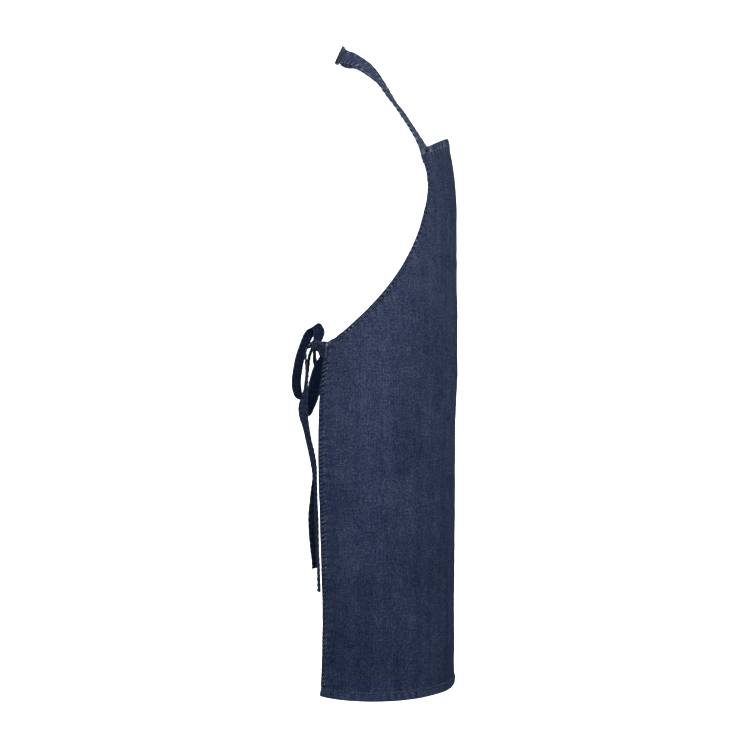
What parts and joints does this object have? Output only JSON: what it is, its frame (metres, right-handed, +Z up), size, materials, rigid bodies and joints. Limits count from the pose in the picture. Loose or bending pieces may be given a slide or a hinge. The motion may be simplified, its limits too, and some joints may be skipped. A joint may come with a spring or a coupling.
{
  "type": "bib apron",
  "caption": "Dark denim bib apron with an adjustable neck strap and a slider, shaped as worn, its waist ties tied in a bow behind.",
  "frame": {"origin": "on the inner face of the neck strap at the middle of the back of the neck", "axes": "+X towards the wearer's front, +Y towards the wearer's left, +Z up"},
  "size_m": [0.2799, 0.4334, 1.0519],
  "materials": {
    "denim": "washed dark blue twill denim, soft mottled wash",
    "hem_denim": "folded and puckered denim hem, paler on its raised edges",
    "strap_denim": "folded denim band, paler wash on its edges",
    "tie_denim": "folded denim band, puckered along both edges",
    "thread": "dark blue sewing thread",
    "slider_metal": "satin black coated metal"
  },
  "bodies": {
    "neck_loop": {"neck_strap_left": "strap_denim", "neck_strap_right": "strap_denim"},
    "slider": {"slider": "slider_metal", "slider_strap_loop": "strap_denim"},
    "apron": {"apron_panel": "denim", "bib_top_hem": "hem_denim", "bottom_hem": "hem_denim", "armhole_hem_left": "hem_denim", "armhole_hem_right": "hem_denim", "side_hem_left": "hem_denim", "side_hem_right": "hem_denim", "strap_tab_left": "strap_denim", "strap_tab_right": "strap_denim", "tab_stitching_left": "thread", "tab_stitching_right": "thread", "waist_tie_left": "tie_denim", "waist_tie_right": "tie_denim", "tie_end_left": "tie_denim", "tie_end_right": "tie_denim", "tie_bar_tack_left": "thread", "tie_bar_tack_right": "thread", "bow_knot": "tie_denim"},
    "bow_loop_left": {"bow_loop_left": "tie_denim"},
    "bow_loop_right": {"bow_loop_right": "tie_denim"},
    "tie_tail_left": {"tie_tail_left": "tie_denim", "tail_end_left": "tie_denim"},
    "tie_tail_right": {"tie_tail_right": "tie_denim", "tail_end_right": "tie_denim"}
  },
  "joints": [
    {"name": "slider_slide", "type": "slide", "parent": "neck_loop", "child": "slider", "axis": [0, 1, 0], "range_m": [0, 0.01]},
    {"name": "apron_swing", "type": "hinge", "parent": "neck_loop", "child": "apron", "pos_m": [0.139, 0, -0.16], "axis": [0, -1, 0], "range_deg": [-10, 25]},
    {"name": "loop_left_swing", "type": "hinge", "parent": "apron", "child": "bow_loop_left", "pos_m": [-0.05, 0, -0.475], "axis": [0, -1, 0], "range_deg": [-10, 6]},
    {"name": "loop_right_swing", "type": "hinge", "parent": "apron", "child": "bow_loop_right", "pos_m": [-0.0475, 0, -0.485], "axis": [0, -1, 0], "range_deg": [-15, 8]},
    {"name": "tail_left_swing", "type": "hinge", "parent": "apron", "child": "tie_tail_left", "pos_m": [-0.0555, 0, -0.49], "axis": [0, -1, 0], "range_deg": [-25, 12]},
    {"name": "tail_right_swing", "type": "hinge", "parent": "apron", "child": "tie_tail_right", "pos_m": [-0.057, 0, -0.482], "axis": [0, -1, 0], "range_deg": [-25, 12]}
  ]
}
